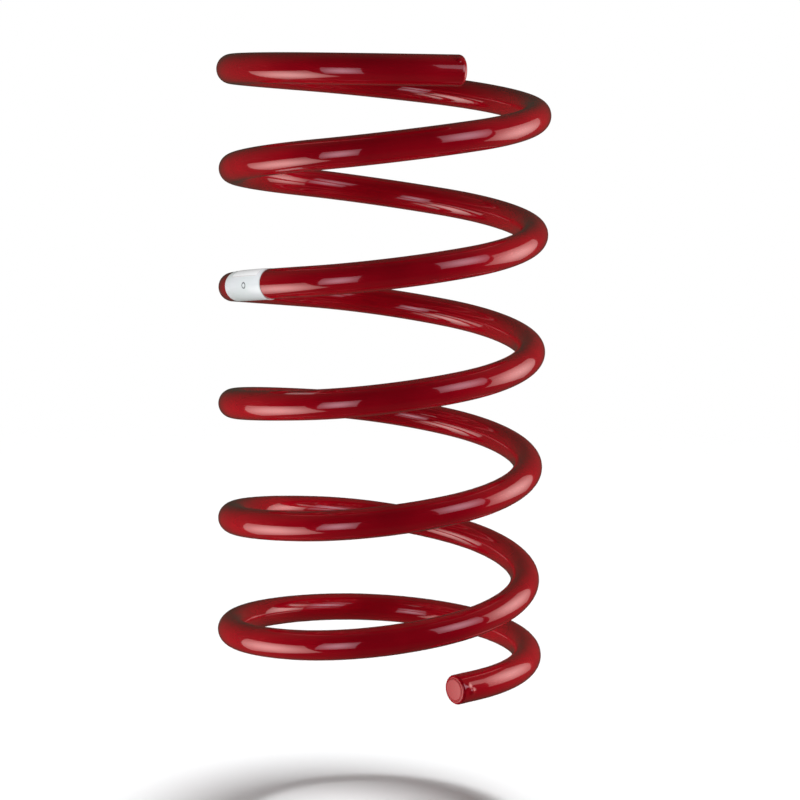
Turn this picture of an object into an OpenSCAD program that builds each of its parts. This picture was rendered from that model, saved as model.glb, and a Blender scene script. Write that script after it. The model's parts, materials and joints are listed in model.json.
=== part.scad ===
// Compression coil spring of a car's suspension, with a paper label wrapped round one coil.
// The wire is made as short planar arcs, each tangent to the next. Every arc is turned about the
// wire's own direction against the one below it, and that twist makes the coil rise. It is also
// how the real spring works: its wire is a long torsion bar, and pressing the ends together
// takes twist out of it.
// The spring stands on its lower seat: +Z is up its axis, and z = 0 is where the seat touches it.

/* [Coil] */
// Outside diameter over the coils
outer_diameter = 143; // [120:1:170]
// Diameter of the wire, paint included
wire_diameter = 12.5; // [10:0.5:15]
// Rise of the wire in one turn in the middle of the spring
coil_pitch = 51; // [45:1:70]
// Number of turns from one cut end to the other
turn_count = 6; // [4:1:7]
// Number of arcs that make one turn
arcs_per_turn = 6; // [5:1:8]
// Number of turns at each end over which the rise grows from nothing to its full value
rising_turns = 1; // [1:1:2]

/* [Ends] */
// Angle of the flat arc that lies on the lower seat, its straight tip included
lower_flat_angle = 57; // [30:1:72]
// Angle of the flat arc that lies against the upper seat, its straight tip included
upper_flat_angle = 51; // [30:1:72]
// Compass angle of the lower cut end, counted from +X towards +Y
lower_end_compass = -62; // [-180:1:180]
// Length of wire at each cut end that coiling leaves straight
straight_tip_length = 12; // [4:1:20]
// Rounding of the rim round each cut face
rim_radius = 1.2; // [0.3:0.1:1.5]

/* [Label] */
// Width of the label, measured along the wire
label_width = 27; // [15:1:35]
// Thickness of the label paper
label_thickness = 0.12; // [0.1:0.02:0.4]
// Thickness of the glue under the paper
glue_thickness = 0.03; // [0.02:0.01:0.1]
// Angle round the wire over which the paper's two ends lie one on the other
label_lap_angle = 56; // [20:2:90]
// Middle of the lap round the wire: 0 faces away from the spring's axis and 90 faces up
label_lap_middle = 63; // [-180:1:180]
// Number of the arc that carries the label, counted from the lower end
label_arc = 23; // [2:1:35]
// Place of the label's middle along that arc, as a share of the arc
label_place = 0.5; // [0.3:0.01:0.7]

/* [Fits] */
// Clearance between one arc's face and the next
joint_clearance = 0.02; // [0.01:0.01:0.1]

/* [Hidden] */
$fn = 96;
full_turn = 360;

wire_radius = wire_diameter / 2;
mean_radius = (outer_diameter - wire_diameter) / 2;
arc_count = turn_count * arcs_per_turn;
arc_angle = full_turn / arcs_per_turn;

// Where every joint has the same twist, one arc rises by the mean radius times the twist's sine.
full_twist = asin(coil_pitch / arcs_per_turn / mean_radius);
rising_joints = rising_turns * arcs_per_turn;

// Half the clearance between two arcs, as an angle at the coil's centre
clearance_angle = joint_clearance / 2 / mean_radius * full_turn / (2 * PI);
// The straight tip starts inside the bent wire and under its skin, so their round walls don't coincide.
tip_inset = 0.03;
tip_root = 1;
tip_radius = wire_radius - tip_inset;
tip_angle = straight_tip_length / mean_radius * full_turn / (2 * PI);

label_inner_radius = wire_radius + glue_thickness;
label_outer_radius = label_inner_radius + label_thickness;
label_angle = label_width / mean_radius * full_turn / (2 * PI);

paint_red = [0.6, 0.02, 0.04];
paper_white = [0.93, 0.94, 0.92];

// Names: the two ends, and between them each coil's number and the arc's number in that coil.
function arc_name(k) =
    k == 1 ? "lower_end"
    : k == arc_count ? "upper_end"
    : str("coil_", floor((k - 1) / arcs_per_turn) + 1, "_arc_", (k - 1) % arcs_per_turn + 1);

// Angle that arc k covers
function arc_sweep(k) = k == 1 ? lower_flat_angle : k == arc_count ? upper_flat_angle : arc_angle;

// Twist of arc k + 1 against arc k: it grows evenly from each end over the rising turns.
function joint_twist(k) = full_twist * min(1, k / rising_joints, (arc_count - k) / rising_joints);

// 4 by 4 matrices that move and turn
function moved(x, y, z) = [[1, 0, 0, x], [0, 1, 0, y], [0, 0, 1, z], [0, 0, 0, 1]];
function turned_about_z(a) =
    [[cos(a), -sin(a), 0, 0], [sin(a), cos(a), 0, 0], [0, 0, 1, 0], [0, 0, 0, 1]];
function turned_about_y(a) =
    [[cos(a), 0, sin(a), 0], [0, 1, 0, 0], [-sin(a), 0, cos(a), 0], [0, 0, 0, 1]];

// Frame of arc k: its centre of curvature is the origin, and the arc starts on +X towards +Y.
function arc_frame(k) =
    k == 1
    ? moved(0, 0, wire_radius) * turned_about_z(lower_end_compass)
    : arc_frame(k - 1) * turned_about_z(arc_sweep(k - 1)) * moved(mean_radius, 0, 0)
        * turned_about_y(joint_twist(k - 1)) * moved(-mean_radius, 0, 0);

// The straight tip of the wire with its rounded rim: it lies along +Z, with the bent wire below z = 0.
module straight_tip() {
    rim_start = straight_tip_length - rim_radius;
    rotate_extrude() {
        translate([0, -tip_root])
            square([tip_radius, rim_start + tip_root]);
        translate([0, -tip_root])
            square([tip_radius - rim_radius, straight_tip_length + tip_root]);
        translate([tip_radius - rim_radius, rim_start])
            circle(r = rim_radius);
    }
}

// The round wire from one angle of an arc's circle to another
module bent_wire(from, to) {
    rotate([0, 0, from])
        rotate_extrude(angle = to - from)
            translate([mean_radius, 0])
                circle(r = wire_radius);
}

module wire_arc(k) {
    is_lower_end = k == 1;
    is_upper_end = k == arc_count;
    from = is_lower_end ? tip_angle : clearance_angle;
    to = arc_sweep(k) - (is_upper_end ? tip_angle : clearance_angle);
    color(paint_red)
        multmatrix(arc_frame(k)) {
            bent_wire(from, to);
            if (is_lower_end)
                rotate([0, 0, from])
                    translate([mean_radius, 0, 0])
                        rotate([90, 0, 0])
                            straight_tip();
            if (is_upper_end)
                rotate([0, 0, to])
                    translate([mean_radius, 0, 0])
                        rotate([-90, 0, 0])
                            straight_tip();
        }
}

// A ring of paper, as a section across the wire
module paper_ring(inner, outer) {
    difference() {
        circle(r = outer);
        circle(r = inner);
    }
}

// A wedge that covers the lap's angle and reaches past the paper
module lap_wedge() {
    reach = 2 * label_outer_radius;
    half_width = reach * tan(label_lap_angle / 2);
    rotate([0, 0, label_lap_middle])
        polygon([[0, 0], [reach, -half_width], [reach, half_width]]);
}

module label() {
    color(paper_white)
        multmatrix(arc_frame(label_arc))
            rotate([0, 0, label_place * arc_angle - label_angle / 2])
                rotate_extrude(angle = label_angle)
                    translate([mean_radius, 0]) {
                        paper_ring(label_inner_radius, label_outer_radius);
                        intersection() {
                            paper_ring(label_inner_radius, label_outer_radius + label_thickness);
                            lap_wedge();
                        }
                    }
}

for (k = [1:arc_count])
    wire_arc(k);
label();
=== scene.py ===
# %% [markdown]
# # A red coil spring, in cells
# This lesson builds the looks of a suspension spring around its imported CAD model. The CAD parts
# give the places and the main sizes, in metres. Blender adds what the CAD has not got: a smooth
# skin, the painted cut ends with their lips and blisters, the wound paper label, and the paint.

# %% Load the frame
import json
import math

import bpy
from mathutils import Matrix, Vector

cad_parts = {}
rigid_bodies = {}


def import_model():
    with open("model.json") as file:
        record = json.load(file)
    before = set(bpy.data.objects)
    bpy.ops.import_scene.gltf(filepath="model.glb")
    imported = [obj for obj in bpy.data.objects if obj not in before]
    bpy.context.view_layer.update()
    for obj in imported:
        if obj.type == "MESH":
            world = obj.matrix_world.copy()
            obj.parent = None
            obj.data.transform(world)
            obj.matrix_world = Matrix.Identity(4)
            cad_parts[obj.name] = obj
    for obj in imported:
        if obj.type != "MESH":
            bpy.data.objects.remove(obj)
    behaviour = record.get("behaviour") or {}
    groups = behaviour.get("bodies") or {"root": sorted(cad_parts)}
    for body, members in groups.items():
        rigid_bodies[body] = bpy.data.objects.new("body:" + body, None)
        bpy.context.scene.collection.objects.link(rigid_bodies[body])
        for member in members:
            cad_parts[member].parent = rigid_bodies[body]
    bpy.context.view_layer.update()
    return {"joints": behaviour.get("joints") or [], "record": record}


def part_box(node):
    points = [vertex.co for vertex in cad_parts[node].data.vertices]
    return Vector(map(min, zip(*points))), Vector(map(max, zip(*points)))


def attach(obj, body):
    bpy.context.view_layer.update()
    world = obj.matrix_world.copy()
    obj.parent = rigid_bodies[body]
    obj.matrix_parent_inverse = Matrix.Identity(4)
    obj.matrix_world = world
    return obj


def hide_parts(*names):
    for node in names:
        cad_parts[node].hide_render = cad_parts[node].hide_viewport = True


MM = 0.001

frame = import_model()
mounts = {mount["name"]: mount for mount in frame["record"]["mounts"]}

# %% [markdown]
# ## The order of the wire's arcs
# The real spring is one bent bar. In the CAD it is cut into short arcs that turn on each other,
# because a coil spring works by twisting its wire. The joints say which arc follows which, so
# walking from joint to joint gives the wire from its lower cut end to its upper one. That is
# safer than reading the order out of the names.

# %% Walk up the wire
joint_above = {joint["parent"]: joint for joint in frame["joints"]}
joint_below = {joint["child"]: joint for joint in frame["joints"]}


def walk_up_the_wire():
    """The names of the arcs, from the one that no joint carries up to the last."""
    body = next(name for name in joint_above if name not in joint_below)
    names = [body]
    while body in joint_above:
        body = joint_above[body]["child"]
        names.append(body)
    return names


arc_names = walk_up_the_wire()
lower_end, upper_end = arc_names[0], arc_names[-1]
print("arcs:", len(arc_names), "from", lower_end, "to", upper_end)

# %% [markdown]
# ## Where each arc starts and ends
# Every arc is a piece of a circle, and it meets its neighbours without a kink. Two points and
# the two directions of the wire there are enough to draw it. A joint sits where two arcs meet
# and turns about the wire, so it holds both. At the two cut ends the mounts hold them.

# %% Points and directions along the wire
# The CAD leaves the same length of wire straight at each cut end.
STRAIGHT_TIP = 12 * MM


class Place:
    """A point of the wire's middle line, and the direction of the wire there, going up."""

    def __init__(self, point, direction):
        self.point = Vector(point)
        self.direction = Vector(direction).normalized()

    def moved_along(self, distance):
        """The place that lies this far on in the wire's own direction."""
        return Place(self.point + self.direction * distance, self.direction)


def place_of_joint(joint):
    """The joint's axis runs down the wire, so the wire's direction is its opposite."""
    return Place(joint["pos_m"], -Vector(joint["axis"]))


lower_cut = Place(mounts["lower_cut_end"]["pos_m"], -Vector(mounts["lower_cut_end"]["axis"]))
upper_cut = Place(mounts["upper_cut_end"]["pos_m"], mounts["upper_cut_end"]["axis"])


def arc_start(name):
    """Where the bent part of an arc starts. The lower end has its straight tip before that."""
    if name == lower_end:
        return lower_cut.moved_along(STRAIGHT_TIP)
    return place_of_joint(joint_below[name])


def arc_finish(name):
    """Where the bent part of an arc finishes. The upper end has its straight tip after that."""
    if name == upper_end:
        return upper_cut.moved_along(-STRAIGHT_TIP)
    return place_of_joint(joint_above[name])


# %% Draw a circle's arc between two places
class Circle:
    """The circle that leaves one place in its direction and arrives at another in its own."""

    def __init__(self, start, finish):
        self.start = start
        self.sweep = start.direction.angle(finish.direction)
        self.axis = start.direction.cross(finish.direction).normalized()
        self.inward = self.axis.cross(start.direction)
        self.radius = (finish.point - start.point).length / (2 * math.sin(self.sweep / 2))
        self.centre = start.point + self.inward * self.radius

    def at(self, angle):
        """The place this far round the circle from its start."""
        turn = Matrix.Rotation(angle, 3, self.axis)
        return Place(self.centre - turn @ self.inward * self.radius, turn @ self.start.direction)


circles = {name: Circle(arc_start(name), arc_finish(name)) for name in arc_names}
coil_radius = circles[arc_names[len(arc_names) // 2]].radius
print("coil radius", round(coil_radius / MM, 2), "mm")

# %% Find the wire's radius
# The lower end lies flat on its seat, so its box is as high as the wire is thick.
low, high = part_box(lower_end)
WIRE_RADIUS = (high.z - low.z) / 2
print("wire radius", round(WIRE_RADIUS / MM, 2), "mm")

# %% [markdown]
# ## Stations along each arc
# A round skin needs to know, at each station of the wire, where the middle is, which way the
# wire runs, how wide it is, and whether the skin is the plain bent wire or a cut tip. At the
# tips the stations crowd together, first across the cut face, then round its rim, because a
# rim that is rounded with real rings catches the light as the painted steel does. Paint runs
# to the edge of a cut face and dries there as a low lip, so the face gets one too.

# %% The shape of a cut tip
LOWER_RIM_RADIUS = 1.2 * MM
UPPER_RIM_RADIUS = 2.2 * MM
RIM_RINGS = 12
FACE_RINGS = 32
FACE_DOME = 0.20 * MM
FACE_MIDDLE = 0.04
LIP_HEIGHT = 0.17 * MM
LIP_MIDDLE = 0.91
LIP_HALF_WIDTH = 0.08
TIP_STEP = 0.25 * MM
ARC_STEP = math.radians(1)
EDGE_STEP = 0.03 * MM
JOINT_GAP = 0.004 * MM


def lip(across):
    """The low ring that the paint builds up just inside the rim."""
    off = min(1, abs(across - LIP_MIDDLE) / LIP_HALF_WIDTH)
    return LIP_HEIGHT * (1 + math.cos(math.pi * off)) / 2


def tip_profile(rim_radius):
    """Depth behind the cut and share of the wire's radius, from the face's middle inwards."""
    flat_share = 1 - rim_radius / WIRE_RADIUS
    quarter_turn = math.radians(90)
    profile = []
    for ring in range(FACE_RINGS):
        across = FACE_MIDDLE + (1 - FACE_MIDDLE) * ring / FACE_RINGS
        profile.append((FACE_DOME * across**2 - lip(across), flat_share * across))
    for ring in range(RIM_RINGS + 1):
        turn = quarter_turn * ring / RIM_RINGS
        depth = FACE_DOME + rim_radius * (1 - math.cos(turn))
        profile.append((depth, flat_share + (1 - flat_share) * math.sin(turn)))
    depth = profile[-1][0] + TIP_STEP
    while depth < STRAIGHT_TIP - TIP_STEP / 2:
        profile.append((depth, 1))
        depth += TIP_STEP
    return profile


lower_tip = tip_profile(LOWER_RIM_RADIUS)
upper_tip = tip_profile(UPPER_RIM_RADIUS)
print("rings in the cut tips:", len(lower_tip), len(upper_tip))


# %% The stations of one arc
class Station:
    """One ring of the wire's skin: its place, its share of the wire's full width, its depth
    behind the cut, and whether it is on the bent wire or on a straight tip."""

    def __init__(self, place, width=1.0, depth=STRAIGHT_TIP, bent=True):
        self.place = place
        self.width = width
        self.depth = depth
        self.bent = bent


def tip_stations(cut, inward, profile):
    """The rings of a straight tip. inward is 1 where the wire goes on above the cut, or -1."""
    return [
        Station(cut.moved_along(depth * inward), width, depth, bent=False)
        for depth, width in profile
    ]


def stations_of(name):
    """Even stations along the arc, and one more just inside each end, which keeps the rounding
    of the smooth shading into the closing faces too narrow to see. Each end stops a hair short
    of its joint, so that no two arcs touch when they turn."""
    circle = circles[name]
    steps = round(circle.sweep / ARC_STEP)
    angles = [circle.sweep * step / steps for step in range(1, steps)]
    for inset in (EDGE_STEP, JOINT_GAP):
        angles.insert(0, inset / circle.radius)
        angles.append(circle.sweep - inset / circle.radius)
    stations = [Station(circle.at(angle)) for angle in angles]
    if name == lower_end:
        stations = tip_stations(lower_cut, 1, lower_tip) + stations
    if name == upper_end:
        stations = stations + tip_stations(upper_cut, -1, upper_tip)[::-1]
    return stations


print("stations in a middle arc:", len(stations_of(arc_names[1])))


# %% Store the stations on a path mesh
def level_side(direction):
    """A level direction across the wire. Arcs that meet share it, so their rings match."""
    return direction.cross(Vector((0, 0, 1))).normalized()


def store(mesh, name, kind, values):
    """One named value for each point of a mesh."""
    attribute = mesh.attributes.new(name, kind, "POINT")
    field = "vector" if kind == "FLOAT_VECTOR" else "value"
    attribute.data.foreach_set(field, values)


def path_object(name, stations):
    """A chain of points, one for each station, with what the skin needs stored on them."""
    mesh = bpy.data.meshes.new(name + "_path")
    links = [(here, here + 1) for here in range(len(stations) - 1)]
    mesh.from_pydata([station.place.point for station in stations], links, [])
    directions = [station.place.direction for station in stations]
    store(mesh, "direction", "FLOAT_VECTOR", [x for d in directions for x in d])
    store(mesh, "side", "FLOAT_VECTOR", [x for d in directions for x in level_side(d)])
    store(mesh, "width", "FLOAT", [station.width for station in stations])
    store(mesh, "depth", "FLOAT", [station.depth for station in stations])
    store(mesh, "bent", "FLOAT", [float(station.bent) for station in stations])
    path = bpy.data.objects.new(name, mesh)
    bpy.context.scene.collection.objects.link(path)
    return path


# %% [markdown]
# ## Geometry Nodes: a skin for any wire
# The wire follows a rule: a circle carried along a path. Curve to Mesh could do it, but it
# guesses the direction of the first and last ring from the points beside them, and the rings of
# two arcs would then miss each other by a hair. This tree wraps a plain cylinder round the path
# instead. Ring number n of the cylinder takes its place, direction and width from station n,
# so the last rings of neighbouring arcs lie exactly in line. A joint can still show as a faint
# hairline, where the view runs straight along its gap.


# %% A small helper for node trees
class Tree:
    """Makes nodes and links them, a few words at a time."""

    def __init__(self, tree):
        self.tree = tree

    def node(self, kind, inputs=None, **settings):
        made = self.tree.nodes.new(kind)
        for setting, value in settings.items():
            setattr(made, setting, value)
        for socket, value in (inputs or {}).items():
            self.feed(made.inputs[socket], value)
        return made

    def feed(self, socket, value):
        """Links another node's output to the socket, or sets a plain value on it."""
        if isinstance(value, bpy.types.NodeSocket):
            self.tree.links.new(value, socket)
        else:
            socket.default_value = value

    def math(self, operation, *values, clamp=False):
        made = self.node("ShaderNodeMath", dict(enumerate(values)), operation=operation)
        made.use_clamp = clamp
        return made.outputs[0]

    def vector_math(self, operation, *values):
        made = self.node("ShaderNodeVectorMath", operation=operation)
        for socket, value in zip(made.inputs, values):
            self.feed(socket, value)
        return made.outputs["Vector"]

    def scaled(self, vector, factor):
        made = self.node("ShaderNodeVectorMath", {0: vector, "Scale": factor}, operation="SCALE")
        return made.outputs["Vector"]

    def distance(self, one, other):
        """How far apart two points are."""
        made = self.node("ShaderNodeVectorMath", {0: one, 1: other}, operation="DISTANCE")
        return made.outputs["Value"]

    def ramp(self, value, start, finish, to_start=0.0, to_finish=1.0):
        """Turns a value between start and finish smoothly into one between two others."""
        names = ("Value", "From Min", "From Max", "To Min", "To Max")
        wanted = dict(zip(names, (value, start, finish, to_start, to_finish)))
        made = self.node("ShaderNodeMapRange", wanted, interpolation_type="SMOOTHSTEP")
        return made.outputs["Result"]


def new_tree(name, kind, sockets):
    """A node group with named sockets: (name, "INPUT" or "OUTPUT", socket type)."""
    tree = bpy.data.node_groups.new(name, kind)
    for socket_name, direction, socket_type in sockets:
        tree.interface.new_socket(socket_name, in_out=direction, socket_type=socket_type)
    made = Tree(tree)
    made.source = tree.nodes.new("NodeGroupInput").outputs
    made.sink = tree.nodes.new("NodeGroupOutput").inputs
    return made


# %% Build the tree that wraps a skin round a path
BLISTER_COUNT = 3


def build_skin_tree():
    """The Geometry Nodes tree: a cylinder wrapped round a path, blistered and painted."""
    sockets = [
        ("Path", "INPUT", "NodeSocketGeometry"),
        ("Wire Radius", "INPUT", "NodeSocketFloat"),
        ("Sides", "INPUT", "NodeSocketInt"),
        ("Paint", "INPUT", "NodeSocketMaterial"),
        ("Blister Size", "INPUT", "NodeSocketFloat"),
        ("Blister Height", "INPUT", "NodeSocketFloat"),
        ("Skin", "OUTPUT", "NodeSocketGeometry"),
    ]
    for number in range(BLISTER_COUNT):
        sockets.append((f"Blister {number + 1}", "INPUT", "NodeSocketVector"))
    t = new_tree("wire_skin", "GeometryNodeTree", sockets)
    path = t.source["Path"]

    # A cylinder with one ring for each station of the path
    size = t.node("GeometryNodeAttributeDomainSize", {"Geometry": path}, component="MESH")
    last_ring = t.math("SUBTRACT", size.outputs["Point Count"], 1)
    cylinder = t.node(
        "GeometryNodeMeshCylinder",
        {"Vertices": t.source["Sides"], "Side Segments": last_ring, "Radius": 1.0, "Depth": 1.0},
        fill_type="NGON",
    )
    here = t.node("ShaderNodeSeparateXYZ", {0: t.node("GeometryNodeInputPosition").outputs[0]})

    # The cylinder is one metre high, so the height above its foot tells the number of the ring
    low_face = t.node(
        "GeometryNodeAttributeStatistic",
        {"Geometry": cylinder.outputs["Mesh"], "Attribute": here.outputs["Z"]},
    )
    share = t.math("SUBTRACT", here.outputs["Z"], low_face.outputs["Min"])
    ring = t.math("ROUND", t.math("MULTIPLY", share, last_ring))

    def from_station(kind, value):
        sample = t.node(
            "GeometryNodeSampleIndex",
            {"Geometry": path, "Value": value, "Index": ring},
            data_type=kind,
        )
        return sample.outputs["Value"]

    def named(kind, name):
        return t.node("GeometryNodeInputNamedAttribute", {"Name": name}, data_type=kind).outputs[0]

    middle = from_station("FLOAT_VECTOR", t.node("GeometryNodeInputPosition").outputs[0])
    direction = from_station("FLOAT_VECTOR", named("FLOAT_VECTOR", "direction"))
    side = from_station("FLOAT_VECTOR", named("FLOAT_VECTOR", "side"))
    width = from_station("FLOAT", named("FLOAT", "width"))
    depth = from_station("FLOAT", named("FLOAT", "depth"))
    bent = from_station("FLOAT", named("FLOAT", "bent"))
    up = t.vector_math("CROSS_PRODUCT", direction, side)
    outward = t.vector_math(
        "ADD", t.scaled(side, here.outputs["X"]), t.scaled(up, here.outputs["Y"])
    )

    # Keep what the cylinder still knows before its points move
    kept = cylinder.outputs["Mesh"]
    for name, kind, value in (
        ("outward", "FLOAT_VECTOR", outward),
        ("depth", "FLOAT", depth),
        ("bent", "FLOAT", bent),
    ):
        kept = t.node(
            "GeometryNodeStoreNamedAttribute",
            {"Geometry": kept, "Name": name, "Value": value},
            data_type=kind,
        ).outputs["Geometry"]
    radius = t.math("MULTIPLY", width, t.source["Wire Radius"])
    place = t.vector_math("ADD", middle, t.scaled(outward, radius))
    wrapped = t.node("GeometryNodeSetPosition", {"Geometry": kept, "Position": place})

    # Small blisters, where the paint gathered
    rise = 0.0
    for number in range(BLISTER_COUNT):
        away = t.distance(
            t.node("GeometryNodeInputPosition").outputs[0], t.source[f"Blister {number + 1}"]
        )
        bump = t.ramp(away, 0.0, t.source["Blister Size"], t.source["Blister Height"], 0.0)
        rise = t.math("MAXIMUM", rise, bump)
    offset = t.scaled(named("FLOAT_VECTOR", "outward"), rise)
    raised = t.node("GeometryNodeSetPosition", {"Geometry": wrapped.outputs[0], "Offset": offset})
    smooth = t.node("GeometryNodeSetShadeSmooth", {"Geometry": raised.outputs[0]})

    # Exact normals on the bent wire, and the mesh's own on the tips
    between_no_and_yes = 0.5
    is_bent = t.math("GREATER_THAN", named("FLOAT", "bent"), between_no_and_yes)
    normal = t.node("GeometryNodeSwitch", {"Switch": is_bent}, input_type="VECTOR")
    t.feed(normal.inputs["False"], t.node("GeometryNodeInputNormal").outputs[0])
    t.feed(normal.inputs["True"], named("FLOAT_VECTOR", "outward"))
    shaded = t.node("GeometryNodeSetMeshNormal", mode="FREE", domain="POINT")
    t.feed(shaded.inputs["Mesh"], smooth.outputs[0])
    t.feed(shaded.inputs["Custom Normal"], normal.outputs[0])

    real = t.node("GeometryNodeRealizeInstances", {"Geometry": shaded.outputs[0]})
    painted = t.node(
        "GeometryNodeSetMaterial", {"Geometry": real.outputs[0], "Material": t.source["Paint"]}
    )
    t.feed(t.sink["Skin"], painted.outputs[0])
    return t.tree


skin_tree = build_skin_tree()
print("nodes in the skin tree:", len(skin_tree.nodes))

# %% [markdown]
# ## Paint that is not quite even
# Sprayed or baked paint is never perfectly level. It has broad, slow waves from the steel under
# it, a fine orange peel, and a few grains of dust caught in it. The paper label needs the same
# kinds of unevenness in other sizes, as creases, fibres and specks. So they live in one node
# group that puts out heights and a slow patchiness. All of it reads Object coordinates. Every
# piece sits at the origin, so the pattern runs on from arc to arc without a seam.


# %% A node group for slow waves, fine peel and dust
WAVE_DETAIL = 1.0
PEEL_DETAIL = 2.0
PATCH_DETAIL = 3.0
NOISE_ROUGHNESS = 0.5
PATCH_TO_WAVE = 2.5
PATCH_DARKEST = 0.3
PATCH_LIGHTEST = 0.7
DUST_GRAIN = 0.06
DUST_LEFT_OUT = 0.6


def build_unevenness():
    """The shader node group: a wave, a peel, grains of dust and slow patches."""
    sockets = [
        ("Wave Size", "INPUT", "NodeSocketFloat"),
        ("Peel Size", "INPUT", "NodeSocketFloat"),
        ("Dust Spacing", "INPUT", "NodeSocketFloat"),
        ("Wave", "OUTPUT", "NodeSocketFloat"),
        ("Peel", "OUTPUT", "NodeSocketFloat"),
        ("Dust", "OUTPUT", "NodeSocketFloat"),
        ("Patch", "OUTPUT", "NodeSocketFloat"),
    ]
    t = new_tree("uneven_surface", "ShaderNodeTree", sockets)
    place = t.node("ShaderNodeTexCoord").outputs["Object"]

    def noise(size, detail):
        per_metre = t.math("DIVIDE", 1.0, size)
        inputs = {"Vector": place, "Scale": per_metre, "Detail": detail}
        inputs["Roughness"] = NOISE_ROUGHNESS
        return t.node("ShaderNodeTexNoise", inputs).outputs[0]

    t.feed(t.sink["Wave"], noise(t.source["Wave Size"], WAVE_DETAIL))
    t.feed(t.sink["Peel"], noise(t.source["Peel Size"], PEEL_DETAIL))
    wide = t.math("MULTIPLY", t.source["Wave Size"], PATCH_TO_WAVE)
    patches = t.ramp(noise(wide, PATCH_DETAIL), PATCH_DARKEST, PATCH_LIGHTEST)
    t.feed(t.sink["Patch"], patches)
    dust_scale = t.math("DIVIDE", 1.0, t.source["Dust Spacing"])
    grains = t.node("ShaderNodeTexVoronoi", {"Vector": place, "Scale": dust_scale})
    dot = t.ramp(grains.outputs["Distance"], 0.0, DUST_GRAIN, 1.0, 0.0)
    chance = t.node("ShaderNodeSeparateXYZ", {0: grains.outputs["Color"]}).outputs["X"]
    kept = t.math("GREATER_THAN", chance, DUST_LEFT_OUT)
    t.feed(t.sink["Dust"], t.math("MULTIPLY", dot, kept))
    return t.tree


uneven_surface = build_unevenness()
print("nodes in the unevenness group:", len(uneven_surface.nodes))


# %% Start a material around one Principled shader
def new_material(name, **constants):
    """A node material. Constants are set on the shader's own sockets."""
    material = bpy.data.materials.new(name)
    material.use_nodes = True
    t = Tree(material.node_tree)
    shader = next(n for n in material.node_tree.nodes if n.bl_idname == "ShaderNodeBsdfPrincipled")
    for words, value in constants.items():
        socket = words.replace("_", " ").title().replace("Ior", "IOR")
        shader.inputs[socket].default_value = value
    return material, t, shader


def uneven_outputs(t, wave_size, peel_size, dust_spacing):
    """Places the unevenness group in a material and gives its four outputs."""
    group = t.node("ShaderNodeGroup", node_tree=uneven_surface)
    sizes = {"Wave Size": wave_size, "Peel Size": peel_size, "Dust Spacing": dust_spacing}
    for socket, value in sizes.items():
        group.inputs[socket].default_value = value
    return [group.outputs[name] for name in ("Wave", "Peel", "Dust", "Patch")]


def bumped(t, *layers):
    """Bump nodes one on another. Each layer is a height and how tall it stands, in metres."""
    normal = None
    for height, tall in layers:
        bump = t.node("ShaderNodeBump", {"Height": height, "Distance": tall, "Strength": 1.0})
        if normal is not None:
            t.feed(bump.inputs["Normal"], normal)
        normal = bump.outputs["Normal"]
    return normal


def mixed(t, share, one, other):
    """A colour between two others. A share of 0 gives the first, and 1 gives the second."""
    made = t.node("ShaderNodeMix", {"Factor": share}, data_type="RGBA")
    for socket, colour in zip([s for s in made.inputs if s.type == "RGBA"], (one, other)):
        t.feed(socket, colour)
    return next(s for s in made.outputs if s.type == "RGBA")


# %% [markdown]
# ## The red paint
# The spring is dipped or sprayed in a deep red and baked hard, so it shows two reflections: one
# from the pigment's own surface and a sharper one from the clear top of the paint. One glossy
# surface could give only one of them, so a clear coat lies over a slightly rough base. The red
# is nearly free of green and blue, which keeps the shaded parts a dark cherry colour. Near the
# cut ends the paint is thicker and lumpier, and on the cut face itself it is duller.

# %% Make the red paint
CHERRY_RED = (0.44, 0.0008, 0.011, 1)
BRIGHT_RED = (0.55, 0.0016, 0.013, 1)
THICK_RED = (0.40, 0.0007, 0.009, 1)
PIGMENT_TINT = (1.0, 0.22, 0.22, 1)
# Higher than real varnish, which has about 1.5. The step on soft boxes says why.
GLOSS_IOR = 2.2
COAT_ROUGHNESS = 0.03
FACE_COAT = 0.35
SMOOTHEST = 0.10
ROUGHEST = 0.16
DUST_ROUGHNESS = 0.2
THICK_SHARE = 0.5
PEEL_AWAY_FROM_CUTS = 0.35
WAVE_SIZE, WAVE_HEIGHT = 9 * MM, 0.05 * MM
PEEL_SIZE, PEEL_HEIGHT = 0.9 * MM, 0.010 * MM
DUST_SPACING, DUST_HEIGHT = 4 * MM, 0.01 * MM


def make_red_paint():
    """The paint that all the arcs share."""
    material, t, shader = new_material(
        "red_paint",
        coat_roughness=COAT_ROUGHNESS,
        coat_ior=GLOSS_IOR,
        ior=GLOSS_IOR,
        specular_tint=PIGMENT_TINT,
    )
    wave, peel, dust, patch = uneven_outputs(t, WAVE_SIZE, PEEL_SIZE, DUST_SPACING)
    depth = t.node("ShaderNodeAttribute", attribute_name="depth").outputs["Fac"]
    near_cut = t.ramp(depth, 0.0, STRAIGHT_TIP, 1.0, 0.0)
    colour = mixed(t, patch, CHERRY_RED, BRIGHT_RED)
    colour = mixed(t, t.math("MULTIPLY", near_cut, THICK_SHARE), colour, THICK_RED)
    t.feed(shader.inputs["Base Color"], colour)
    coat = t.ramp(depth, FACE_DOME, LOWER_RIM_RADIUS, FACE_COAT, 1.0)
    t.feed(shader.inputs["Coat Weight"], coat)
    rough = t.ramp(patch, 0.0, 1.0, SMOOTHEST, ROUGHEST)
    dusty = t.math("MULTIPLY", dust, DUST_ROUGHNESS)
    t.feed(shader.inputs["Roughness"], t.math("ADD", rough, dusty))
    lumps = t.math("MULTIPLY", peel, t.ramp(near_cut, 0.0, 1.0, PEEL_AWAY_FROM_CUTS, 1.0))
    normal = bumped(t, (wave, WAVE_HEIGHT), (lumps, PEEL_HEIGHT), (dust, DUST_HEIGHT))
    t.feed(shader.inputs["Normal"], normal)
    return material


red_paint = make_red_paint()
print("material:", red_paint.name)

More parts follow.
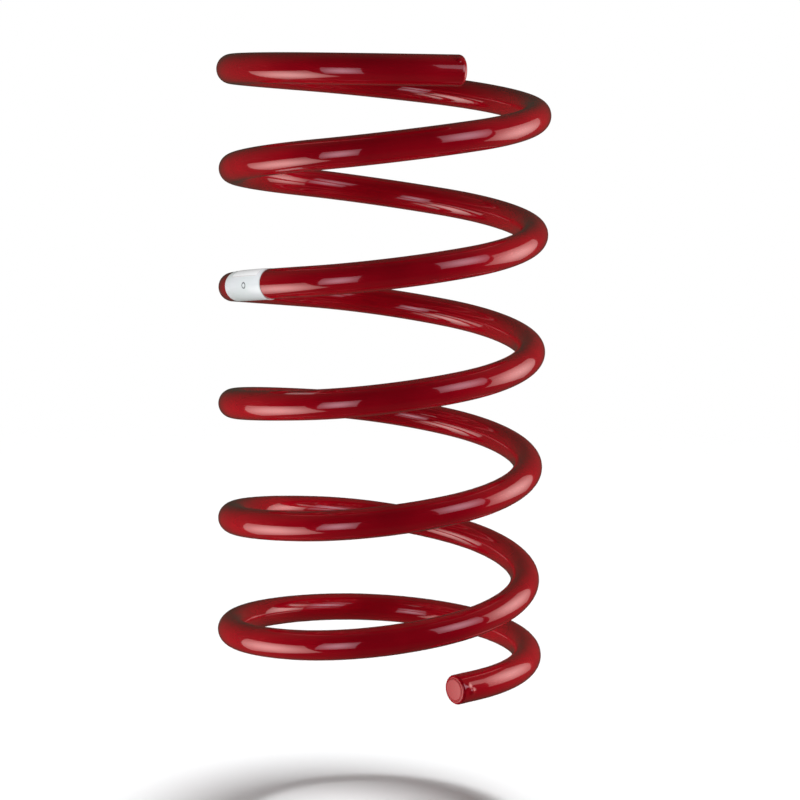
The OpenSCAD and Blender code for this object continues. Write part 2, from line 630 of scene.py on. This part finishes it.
# %% [markdown]
# ## Dress every arc
# One path, one modifier, one plain mesh for each arc. The modifier's inputs are set by the
# identifiers of its sockets, and only then is the object evaluated. The finished mesh stands
# for the CAD arc of the same name and rides on the same body.

# %% Run the tree on a path and keep the plain mesh
SIDES = 72
TIP_SIDES = 144


def plain_mesh_from(path, tree, values):
    """The mesh that a Geometry Nodes tree makes from an object, with its inputs set."""
    modifier = path.modifiers.new("skin", "NODES")
    modifier.node_group = tree
    for item in tree.interface.items_tree:
        if item.item_type == "SOCKET" and item.in_out == "INPUT" and item.name in values:
            modifier[item.identifier] = values[item.name]
    evaluated = path.evaluated_get(bpy.context.evaluated_depsgraph_get())
    mesh = bpy.data.meshes.new_from_object(evaluated)
    bpy.data.objects.remove(path)
    while len(mesh.materials) > 1:
        mesh.materials.pop(index=0)
    mesh.polygons.foreach_set("material_index", [0] * len(mesh.polygons))
    return mesh


def new_piece(name, mesh):
    """An object at the origin, with its place in its mesh."""
    piece = bpy.data.objects.new(name, mesh)
    mesh.name = name
    bpy.context.scene.collection.objects.link(piece)
    return piece


# %% Where the paint gathered into blisters
def on_the_tip(cut, inward, behind, clock):
    """A point of the skin: how far behind the cut, and its angle round the wire from level."""
    side = level_side(cut.direction)
    turned = Matrix.Rotation(math.radians(clock), 3, cut.direction) @ side
    return cut.point + cut.direction * behind * inward + turned * WIRE_RADIUS


# Each blister's distance behind the cut, and its angle in degrees
LOWER_BLISTERS = ((5.0 * MM, 1), (3.0 * MM, -22), (5.4 * MM, 150))
UPPER_BLISTERS = ((3.6 * MM, -45), (6.5 * MM, 150), (5.0 * MM, 200))
BLISTER_SIZE = 2.1 * MM
BLISTER_HEIGHT = 0.42 * MM


def blisters_of(name):
    """The middles of an arc's blisters. Only the two ends have any."""
    if name == lower_end:
        return [on_the_tip(lower_cut, 1, *blister) for blister in LOWER_BLISTERS]
    if name == upper_end:
        return [on_the_tip(upper_cut, -1, *blister) for blister in UPPER_BLISTERS]
    return []


# %% Make the arcs
def make_arc(name):
    """The skin of one arc, riding on the arc's own body in place of its CAD node."""
    values = {
        "Wire Radius": WIRE_RADIUS,
        "Sides": TIP_SIDES if name in (lower_end, upper_end) else SIDES,
        "Paint": red_paint,
        "Blister Size": BLISTER_SIZE,
        "Blister Height": BLISTER_HEIGHT,
    }
    for number, place in enumerate(blisters_of(name)):
        values[f"Blister {number + 1}"] = tuple(place)
    path = path_object(name + "_path", stations_of(name))
    piece = new_piece(name + "_skin", plain_mesh_from(path, skin_tree, values))
    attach(piece, name)
    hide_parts(name)
    return piece


arcs = [make_arc(name) for name in arc_names]
print("arcs:", len(arcs), "faces in one:", len(arcs[1].data.polygons))

# %% [markdown]
# ## The paper label
# A strip of glossy white paper is wound once round the wire, and its outer end is stuck
# down over its own start. The end that lies on top is narrower, with rounded corners, and one
# edge stands slightly off the paint. A ring with a step in it would look much the same from
# afar. But a strip that is drawn as it is wound, from its hidden start to its visible end and
# with the paper's thickness kept all the way, gives a true edge where the lap ends.

# %% Sizes of the label
LABEL_WIDTH = 27 * MM
PAPER = 0.12 * MM
GLUE = 0.03 * MM
LAP_START = math.radians(91)
LAP_ANGLE = math.radians(56)
WINDING = math.tau + LAP_ANGLE
CLIMB = math.radians(9)
CLIMB_PAST_LAP = CLIMB / 3
LEFT_TRIM = 5.5 * MM
RIGHT_TRIM = 2.2 * MM
CORNER_RADIUS = 1.2 * MM
LIFT = 0.3 * MM
LIFT_PLACE = math.radians(-72)
LIFT_SPREAD = math.radians(20)
LIFT_FROM = 0.86
COLUMNS = 40
ROWS = 208
LABEL_SHEET = 58 * MM
INNER_SIDE_SHIFT = 0.5

bodies = frame["record"]["behaviour"]["bodies"]
label_body = next(body for body, nodes in bodies.items() if "label" in nodes)
label_circle = circles[label_body]
label_span = LABEL_WIDTH / label_circle.radius
label_first = (label_circle.sweep - label_span) / 2
print("the label rides on", label_body)


# %% One point of the paper
def smooth(value, start, finish):
    """0 up to the start, 1 from the finish on, and a smooth rise between them."""
    share = min(1, max(0, (value - start) / (finish - start)))
    return share * share * (3 - 2 * share)


def side_trim(wound, full_trim):
    """How much narrower the strip is at one side, from nothing to its full amount at the lap."""
    into_lap = wound - math.tau
    trim = full_trim * smooth(into_lap, -CLIMB, 0)
    last = WINDING - wound
    corner = CORNER_RADIUS / WIRE_RADIUS
    if last < corner:
        trim += CORNER_RADIUS * (1 - math.sqrt(1 - (1 - last / corner) ** 2))
    return trim


def paper_point(across, wound, outer):
    """across goes from 0 to 1 along the wire, and wound from 0 to WINDING round it."""
    angle = LAP_START - wound
    left, right = side_trim(wound, LEFT_TRIM), side_trim(wound, RIGHT_TRIM)
    along = left + (LABEL_WIDTH - left - right) * across
    here = label_circle.at(label_first + along / label_circle.radius)
    outward = (here.point - label_circle.centre).normalized()
    layer = smooth(wound, math.tau - CLIMB, math.tau + CLIMB_PAST_LAP)
    lifted_round = math.exp(-(((angle - LIFT_PLACE) / LIFT_SPREAD) ** 2))
    lift = LIFT * lifted_round * smooth(across, LIFT_FROM, 1)
    height = GLUE + PAPER * (layer + outer) + lift
    section = outward * math.cos(angle) + label_circle.axis * math.sin(angle)
    return here.point + section * (WIRE_RADIUS + height)


# %% Wind the strip as a closed sheet with a thickness
def wind_label():
    """Points, faces and flat places of the strip: its outer side, its inner side, its edge."""
    points, faces, sheet_places = [], [], []
    for outer in (1, 0):
        for row in range(ROWS + 1):
            wound = WINDING * row / ROWS
            for column in range(COLUMNS + 1):
                across = column / COLUMNS
                points.append(paper_point(across, wound, outer))
                along = across * LABEL_WIDTH / LABEL_SHEET
                around = wound * WIRE_RADIUS / LABEL_SHEET
                sheet_places.append((along + (0 if outer else INNER_SIDE_SHIFT), around))
    per_side = (ROWS + 1) * (COLUMNS + 1)

    def number(row, column, inner=False):
        return row * (COLUMNS + 1) + column + (per_side if inner else 0)

    for row in range(ROWS):
        for column in range(COLUMNS):
            quad = [(row, column), (row + 1, column), (row + 1, column + 1), (row, column + 1)]
            faces.append([number(*corner) for corner in quad])
            faces.append([number(*corner, True) for corner in quad[::-1]])
    edge = [(row, 0) for row in range(ROWS)]
    edge += [(ROWS, column) for column in range(COLUMNS)]
    edge += [(row, COLUMNS) for row in range(ROWS, 0, -1)]
    edge += [(0, column) for column in range(COLUMNS, 0, -1)]
    for here, after in zip(edge, edge[1:] + edge[:1]):
        faces.append([number(*after), number(*here), number(*here, True), number(*after, True)])
    return points, faces, sheet_places


# %% [markdown]
# ## Label paper
# Coated label paper is smooth and white with a faint cool cast. Where it lies double, less red
# shows through, so the lap is whiter. Along its edges it is darker: partly grease that it picks
# up, and partly painted shade at the paper's edges. An inspector's small ring stamp is printed on
# its front. The stamp, the darker edges and the lap are drawn in the label's own flat coordinates,
# so that they bend with the paper. Real paper doesn't glow. This one does, because the room is
# kept dark for the red paint, and in such a room the paper would come out grey. The glow only
# lifts it to white, and in other light it should be turned down.

# %% Colours and surface of the label paper
SINGLE_WHITE = (0.47, 0.52, 0.51, 1)
SINGLE_BLUISH = (0.51, 0.53, 0.545, 1)
DOUBLE_WHITE = (0.64, 0.655, 0.66, 1)
# The colour of the darker edges: partly grease, partly painted shade at the paper's edges.
GREASE_AND_EDGE_SHADE = (0.24, 0.19, 0.18, 1)
SPECK_GREY = (0.35, 0.36, 0.36, 1)
INK = (0.03, 0.035, 0.04, 1)
PAPER_GLOW = 0.72
PAPER_COAT = 0.6
PAPER_COAT_ROUGHNESS = 0.08
PAPER_SMOOTHEST = 0.28
PAPER_ROUGHEST = 0.40
PAPER_WAVE, PAPER_WAVE_HEIGHT = 5 * MM, 0.06 * MM
FIBRE, FIBRE_HEIGHT = 0.4 * MM, 0.004 * MM
SPECK_SPACING = 2 * MM
SPECK_SHARE = 0.3


def on_sheet(length):
    """A length in metres, in the units of the label's flat coordinates."""
    return length / LABEL_SHEET


# %% Where the stamp, the darker edges of grease and painted shade, and the lap are
STAMP_ALONG = 17 * MM
STAMP_RADIUS = 1.1 * MM
STAMP_LINE = 0.5 * MM
STAMP_INK = 0.85
INK_CORE = 0.4
INK_BLEED = 0.6
# The darker band at the paper's edges is partly grease and partly painted shade.
GREASE_AND_SHADE_WIDTH = 0.7 * MM
GREASE_AND_SHADE_SHARE = 0.45
END_EDGE_FROM, END_EDGE_TO = 0.5 * MM, 0.1 * MM
END_EDGE_DARK_SHARE = 0.5
LAP_BLUR = 0.3 * MM


def stamp_mask(t, flat):
    """A ring of ink on the side that faces away from the spring's axis."""
    centre = t.node("ShaderNodeCombineXYZ")
    centre.inputs["X"].default_value = on_sheet(STAMP_ALONG)
    centre.inputs["Y"].default_value = on_sheet(LAP_START * WIRE_RADIUS)
    reach = t.distance(flat, centre.outputs[0])
    off_line = t.math("ABSOLUTE", t.math("SUBTRACT", reach, on_sheet(STAMP_RADIUS)))
    line = on_sheet(STAMP_LINE)
    return t.ramp(off_line, INK_CORE * line, INK_BLEED * line, STAMP_INK, 0.0)


def grease_and_edge_shade_mask(t, along, around):
    """A darker band along both sides of the strip and along the edge where its outer end stops:
    partly grease, partly painted shade at the paper's edges.
    """
    half = on_sheet(LABEL_WIDTH) / 2
    to_edge = t.math("ABSOLUTE", t.math("SUBTRACT", along, half))
    sides = t.ramp(to_edge, half - on_sheet(GREASE_AND_SHADE_WIDTH), half, 0.0, GREASE_AND_SHADE_SHARE)
    end = on_sheet(WINDING * WIRE_RADIUS)
    end_edge_dark = t.ramp(around, end - on_sheet(END_EDGE_FROM), end - on_sheet(END_EDGE_TO), 0.0, END_EDGE_DARK_SHARE)
    return t.math("MAXIMUM", sides, end_edge_dark)


def lap_mask(t, around):
    """1 where the paper lies on itself."""
    full_turn = on_sheet(math.tau * WIRE_RADIUS)
    return t.ramp(around, full_turn - on_sheet(LAP_BLUR), full_turn, 0.0, 1.0)


# %% Make the label paper
def make_label_paper():
    """White coated paper, whiter where it lies double, with its stamp, its specks, and darker
    edges that are partly grease and partly painted shade.
    """
    material, t, shader = new_material(
        "label_paper",
        coat_weight=PAPER_COAT,
        coat_roughness=PAPER_COAT_ROUGHNESS,
        coat_ior=GLOSS_IOR,
        emission_strength=PAPER_GLOW,
    )
    wave, fibre, speck, patch = uneven_outputs(t, PAPER_WAVE, FIBRE, SPECK_SPACING)
    flat = t.node("ShaderNodeUVMap", uv_map="UVMap").outputs["UV"]
    apart = t.node("ShaderNodeSeparateXYZ", {0: flat}).outputs
    along, around = apart["X"], apart["Y"]

    white = mixed(t, patch, SINGLE_WHITE, SINGLE_BLUISH)
    white = mixed(t, lap_mask(t, around), white, DOUBLE_WHITE)
    # Darker edges: partly grease, partly painted shade at the paper's edges.
    white = mixed(t, grease_and_edge_shade_mask(t, along, around), white, GREASE_AND_EDGE_SHADE)
    white = mixed(t, t.math("MULTIPLY", speck, SPECK_SHARE), white, SPECK_GREY)
    printed = mixed(t, stamp_mask(t, flat), white, INK)
    t.feed(shader.inputs["Base Color"], printed)
    t.feed(shader.inputs["Emission Color"], printed)
    rough = t.ramp(patch, 0.0, 1.0, PAPER_SMOOTHEST, PAPER_ROUGHEST)
    t.feed(shader.inputs["Roughness"], rough)
    normal = bumped(t, (wave, PAPER_WAVE_HEIGHT), (fibre, FIBRE_HEIGHT))
    t.feed(shader.inputs["Normal"], normal)
    return material


label_paper = make_label_paper()
print("material:", label_paper.name)


# %% Make the label
PAPER_EDGE = math.radians(50)


def make_label():
    """The strip as a mesh, riding on the arc that carries the CAD label."""
    points, faces, sheet_places = wind_label()
    mesh = bpy.data.meshes.new("wound_label")
    mesh.from_pydata(points, [], faces)
    uv_map = mesh.uv_layers.new(name="UVMap")
    for loop in mesh.loops:
        uv_map.data[loop.index].uv = sheet_places[loop.vertex_index]
    mesh.shade_smooth()
    mesh.set_sharp_from_angle(angle=PAPER_EDGE)
    mesh.materials.append(label_paper)
    piece = new_piece("wound_label", mesh)
    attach(piece, label_body)
    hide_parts("label")
    return piece


label = make_label()
print("label faces:", len(label.data.polygons))

# %% [markdown]
# ## The studio
# Four soft boxes light the spring: a warm one at each side and a fainter, cooler one nearer the
# camera on each side. Their long reflections draw the roundness of the wire. The room between
# them is dark, which keeps the red deep, while the background is a clean white. The world
# shader does both. The camera sees white, and everything else sees a dim, warm grey.

# %% Light the room
DARK_FRONT = 0.006
GREY_BACK = 0.045
GREY_BELOW = 0.02
BACK_FROM, BACK_TO = -0.6, 0.5
BELOW_FROM, BELOW_TO = -0.9, -0.2
ROOM_TINT = (1.0, 0.88, 0.66, 1)
WHITE = (1.0, 1.0, 1.0, 1)


def make_world():
    """White for the camera, and a room that is darkest in front of the spring for the paint."""
    world = bpy.data.worlds.new("studio")
    bpy.context.scene.world = world
    world.use_nodes = True
    t = Tree(world.node_tree)
    background = next(n for n in world.node_tree.nodes if n.bl_idname == "ShaderNodeBackground")
    rays = t.node("ShaderNodeLightPath").outputs
    way = t.node("ShaderNodeTexCoord").outputs["Generated"]
    way = t.node("ShaderNodeSeparateXYZ", {0: way}).outputs
    behind = t.ramp(way["Y"], BACK_FROM, BACK_TO, DARK_FRONT, GREY_BACK)
    below = t.ramp(way["Z"], BELOW_FROM, BELOW_TO, GREY_BELOW, 0.0)
    room = t.math("MAXIMUM", behind, below)
    seen = t.math("MAXIMUM", room, rays["Is Camera Ray"])
    t.feed(background.inputs["Color"], mixed(t, rays["Is Camera Ray"], ROOM_TINT, WHITE))
    t.feed(background.inputs["Strength"], seen)
    return world


studio = make_world()
print("world:", studio.name)

# %% [markdown]
# ## Soft boxes and their unseen twins
# Glossy paint that is seen at a grazing angle mirrors a soft box almost fully, and the wire's
# edges are always seen so. With boxes as bright as the red needs, an edge would turn as white
# as the background, and the coil would look broken off from the side. So each box comes as a
# pair of the same size in the same place. One is mirrored and gives three tenths of the light,
# and its twin gives the rest and is not mirrored. That dims every highlight, so the paint gets
# a higher index of refraction than real varnish has, which makes up for it away from the edges.
# It makes the pale patches weaker but doesn't remove them: from the side, the bends show some.
#
# Three far glows add light without a reflection: one on each side of the wire, and one for the
# label. Each of them lights only what it is meant for.

# %% Soft boxes
MIRRORED_SHARE = 0.3
WARM = (1.0, 0.94, 0.90)
COOL = (0.92, 0.95, 1.12)
BOX_MIDDLE, BOX_EDGE = 1.5, 0.45
BOX_FADE = 0.62


def aim(thing, target):
    """Turns a lamp so that it shines at the target."""
    thing.rotation_euler = (Vector(target) - thing.location).to_track_quat("-Z", "Y").to_euler()


def soft_box(name, place, target, size, brightness, colour, mirrored):
    """A rectangle of light that is brightest in its middle, as a lamp behind cloth is."""
    lamp = bpy.data.lights.new(name, "AREA")
    lamp.shape = "RECTANGLE"
    lamp.size, lamp.size_y = size
    lamp.energy = brightness * math.pi * lamp.size * lamp.size_y
    lamp.color = colour
    lamp.use_nodes = True
    t = Tree(lamp.node_tree)
    emission = next(n for n in lamp.node_tree.nodes if n.bl_idname == "ShaderNodeEmission")
    spot = t.node("ShaderNodeNewGeometry").outputs["Parametric"]
    from_middle = t.distance(spot, (0.5, 0.5, 0.0))
    t.feed(emission.inputs["Strength"], t.ramp(from_middle, 0.0, BOX_FADE, BOX_MIDDLE, BOX_EDGE))
    box = bpy.data.objects.new(name, lamp)
    box.location = place
    aim(box, target)
    box.visible_camera = False
    box.visible_glossy = mirrored
    bpy.context.scene.collection.objects.link(box)
    return box


def box_pair(name, place, target, size, brightness, colour):
    """The box that the paint mirrors, and its twin that only lights."""
    seen = brightness * MIRRORED_SHARE
    return [
        soft_box(name, place, target, size, seen, colour, True),
        soft_box(name + "_glow", place, target, size, brightness - seen, colour, False),
    ]


# %% Place the four boxes
left_side = box_pair(
    "left_side",
    place=(-0.489, -0.129, -0.135),
    target=(-0.04, -0.058, 0.13),
    size=(0.60, 0.50),
    brightness=3.7,
    colour=WARM,
)
left_front = box_pair(
    "left_front",
    place=(-0.368, -0.674, 0.06),
    target=(-0.018, -0.068, 0.13),
    size=(0.37, 0.57),
    brightness=2.4,
    colour=COOL,
)
right_front = box_pair(
    "right_front",
    place=(0.661, -0.470, 0.42),
    target=(0.032, -0.062, 0.13),
    size=(0.56, 0.68),
    brightness=2.3,
    colour=COOL,
)
right_side = box_pair(
    "right_side",
    place=(0.533, 0.093, 0.167),
    target=(0.052, -0.045, 0.13),
    size=(0.50, 0.53),
    brightness=3.1,
    colour=WARM,
)
soft_boxes = left_side + left_front + right_front + right_side
print("soft boxes:", [box.name for box in soft_boxes])


# %% Glows without a reflection
def sun_from(name, place, power, softness):
    """A far lamp that shines from a place towards the origin and isn't mirrored. The softness
    is the angle that the lamp covers in the sky, in degrees."""
    lamp = bpy.data.lights.new(name, "SUN")
    lamp.energy = power
    lamp.angle = math.radians(softness)
    sun = bpy.data.objects.new(name, lamp)
    sun.location = place
    aim(sun, (0, 0, 0))
    sun.visible_glossy = False
    bpy.context.scene.collection.objects.link(sun)
    return sun


side_glows = [
    sun_from("left_glow", place=(-1.0, 0.2, 0.1), power=1.1, softness=30),
    sun_from("right_glow", place=(1.0, 0.2, 0.1), power=1.7, softness=30),
]
label_glow = sun_from("label_glow", place=(-0.5, -1.0, 0.4), power=2.6, softness=20)
print("glows:", [glow.name for glow in side_glows + [label_glow]])

# %% [markdown]
# ## The floor and its shadow
# A pale floor lies well below the spring, so that the shadow falls apart from it. It fades out
# into the white background, so no horizon shows. One soft lamp from above lights only this
# floor, and the spring stands in its way. That gives the shadow without a second highlight on
# the paint.

# %% Make the floor
FLOOR_DEPTH = -76 * MM
FLOOR_RADIUS = 1.1
FLOOR_FADE_FROM = 0.45
FLOOR_SIDES = 96
PALE = (0.88, 0.90, 0.91, 1)


def make_floor():
    """A pale disc that turns clear towards its rim and throws no light back at the paint."""
    mesh = bpy.data.meshes.new("floor")
    rim = []
    for corner in range(FLOOR_SIDES):
        turn = math.tau * corner / FLOOR_SIDES
        rim.append((FLOOR_RADIUS * math.cos(turn), FLOOR_RADIUS * math.sin(turn), FLOOR_DEPTH))
    mesh.from_pydata(rim, [], [range(FLOOR_SIDES)])
    material, t, shader = new_material("pale_floor", base_color=PALE, roughness=1.0)
    shader.inputs["Specular IOR Level"].default_value = 0
    place = t.node("ShaderNodeTexCoord").outputs["Object"]
    away = t.distance(place, (0.0, 0.0, FLOOR_DEPTH))
    t.feed(shader.inputs["Alpha"], t.ramp(away, FLOOR_FADE_FROM, FLOOR_RADIUS, 1.0, 0.0))
    mesh.materials.append(material)
    floor = bpy.data.objects.new("floor", mesh)
    bpy.context.scene.collection.objects.link(floor)
    floor.visible_diffuse = False
    floor.visible_glossy = False
    floor.visible_shadow = False
    return floor


floor = make_floor()
print("floor at", round(FLOOR_DEPTH / MM), "mm")

# %% The lamp that throws the shadow
SHADOW_LAMP_POWER = 3.6
SHADOW_SOFTNESS = 14
SHADOW_LEAN = 0.06


def light_only(lamp_object, name, receivers):
    """Lets a lamp light these objects and no others."""
    group = bpy.data.collections.new(name)
    for receiver in receivers:
        group.objects.link(receiver)
    lamp_object.light_linking.receiver_collection = group


shadow_lamp = sun_from("shadow_lamp", (SHADOW_LEAN, 0, 1), SHADOW_LAMP_POWER, SHADOW_SOFTNESS)
light_only(shadow_lamp, "lit_floor", [floor])
light_only(label_glow, "glowing_label", [label])
for glow in side_glows:
    light_only(glow, glow.name + "_lights", arcs)
for box in soft_boxes:
    light_only(box, box.name + "_lights", arcs + [label])
print("lit by its own lamp:", floor.name)

# %% [markdown]
# ## The camera
# A long lens from about 0.9 m away looks slightly down on the spring. Its tilt, yaw and roll are
# three plain rotations, which is easier to read than a target to look at. The numbers come from
# a fit, so they aren't round. The plain white and the pure red would be dulled by a film-like
# view, so it is set to Standard.

# %% Place the camera
CAMERA_DISTANCE = 883.1 * MM
CAMERA_HEIGHT = 260.1 * MM
CAMERA_TILT = math.radians(80.896)
CAMERA_YAW = math.radians(-0.488)
CAMERA_ROLL = math.radians(0.887)
CAMERA_LENS = 92.61

camera = bpy.data.cameras.new("camera")
camera.lens = CAMERA_LENS
camera.clip_start = 10 * MM
camera_object = bpy.data.objects.new("camera", camera)
bpy.context.scene.collection.objects.link(camera_object)
camera_turn = (
    Matrix.Rotation(CAMERA_YAW, 4, "Z")
    @ Matrix.Rotation(CAMERA_TILT, 4, "X")
    @ Matrix.Rotation(CAMERA_ROLL, 4, "Z")
)
camera_object.matrix_world = Matrix.Translation((0, -CAMERA_DISTANCE, CAMERA_HEIGHT)) @ camera_turn
bpy.context.scene.camera = camera_object
bpy.context.scene.view_settings.view_transform = "Standard"
print("camera:", round(CAMERA_DISTANCE / MM), "mm away,", round(CAMERA_HEIGHT / MM), "mm up")
